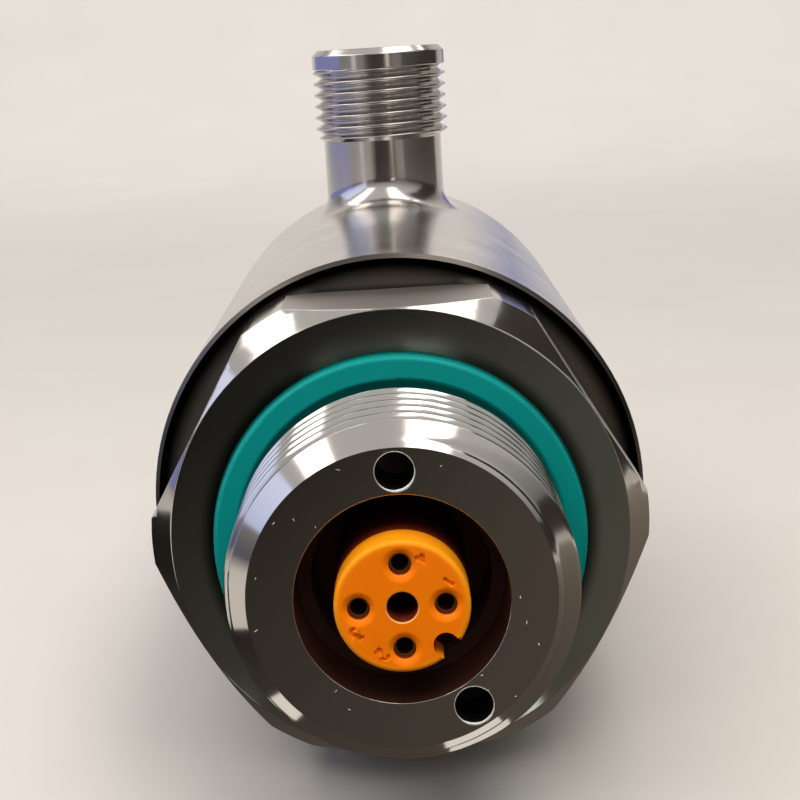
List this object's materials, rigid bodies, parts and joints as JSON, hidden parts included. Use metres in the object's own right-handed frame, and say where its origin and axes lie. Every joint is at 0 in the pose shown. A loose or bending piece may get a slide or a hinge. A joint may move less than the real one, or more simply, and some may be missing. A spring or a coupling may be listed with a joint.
{
  "type": "temperature controller",
  "caption": "Round stainless temperature controller with a threaded sensor-socket nose, hexagon, swivelling housing, plug stub and slanted push-button display.",
  "frame": {"origin": "on the main axis, in the plane of the hexagon's sealing face", "axes": "+Y along the main axis from the threaded nose to the display head, +Z along the plug stub"},
  "size_m": [0.0344, 0.0791, 0.0482],
  "materials": {
    "turned_stainless": "fine turned, polished",
    "housing_stainless": "polished",
    "spring_steel": "plain",
    "teal_seal": "smooth moulded elastomer",
    "black_rubber": "moulded elastomer",
    "orange_carrier": "satin moulded plastic",
    "gold_contact": "gold plated",
    "lock_ring_brass": "turned",
    "green_board": "solder-masked glass laminate",
    "slide_polymer": "smooth bearing plastic",
    "black_moulding": "fine textured moulding",
    "grey_moulding": "moulded",
    "connector_plastic": "moulded",
    "chip_package": "moulded epoxy",
    "ferrite": "sintered",
    "lead_sheath": "soft sheath",
    "flex_film": "amber film",
    "display_block": "tinted face",
    "light_guide": "clear",
    "window_glass": "tinted",
    "button_grey": "satin moulded"
  },
  "bodies": {
    "connection": {"process_connection": "turned_stainless", "process_seal": "teal_seal", "socket_insert": "orange_carrier", "contact_1": "gold_contact", "contact_2": "gold_contact", "contact_3": "gold_contact", "contact_4": "gold_contact", "socket_gasket": "black_rubber", "socket_lock_ring": "lock_ring_brass", "socket_board": "green_board", "lead_socket": "connector_plastic", "swivel_o_ring": "black_rubber", "snap_ring": "spring_steel", "slide_washer": "slide_polymer"},
    "housing": {"housing": "housing_stainless", "stop_pin": "spring_steel", "carrier_screw_1": "spring_steel", "carrier_screw_2": "spring_steel", "display_screw_1": "spring_steel", "display_screw_2": "spring_steel", "plug_gasket": "black_rubber", "bezel_gasket": "black_rubber", "plug_pin_1": "gold_contact", "plug_pin_2": "gold_contact", "plug_pin_3": "gold_contact", "plug_pin_4": "gold_contact", "plug_board": "green_board", "main_board": "green_board", "display_board": "green_board", "plug_insert": "black_moulding", "display_bezel": "black_moulding", "board_carrier": "grey_moulding", "lead_header": "connector_plastic", "flex_socket": "connector_plastic", "board_link": "connector_plastic", "controller_chip": "chip_package", "switch_1": "chip_package", "switch_2": "chip_package", "switch_3": "chip_package", "power_coil": "ferrite", "sensor_lead": "lead_sheath", "plug_flex": "flex_film", "display_module": "display_block", "status_led_1": "light_guide", "status_led_2": "light_guide", "display_window": "window_glass"},
    "set_button": {"set_button": "button_grey"},
    "down_button": {"down_button": "button_grey"},
    "up_button": {"up_button": "button_grey"}
  },
  "joints": [
    {"name": "housing_swivel", "type": "hinge", "parent": "connection", "child": "housing", "pos_m": [0, 0, 0], "axis": [0, 1, 0], "range_deg": [-172, 172]},
    {"name": "set_press", "type": "slide", "parent": "housing", "child": "set_button", "axis": [0, -0.9063, 0.4226], "range_m": [0, 0.0005], "stiffness_N_per_m": 1200},
    {"name": "down_press", "type": "slide", "parent": "housing", "child": "down_button", "axis": [0, -0.9063, 0.4226], "range_m": [0, 0.0005], "stiffness_N_per_m": 1200},
    {"name": "up_press", "type": "slide", "parent": "housing", "child": "up_button", "axis": [0, -0.9063, 0.4226], "range_m": [0, 0.0005], "stiffness_N_per_m": 1200}
  ]
}
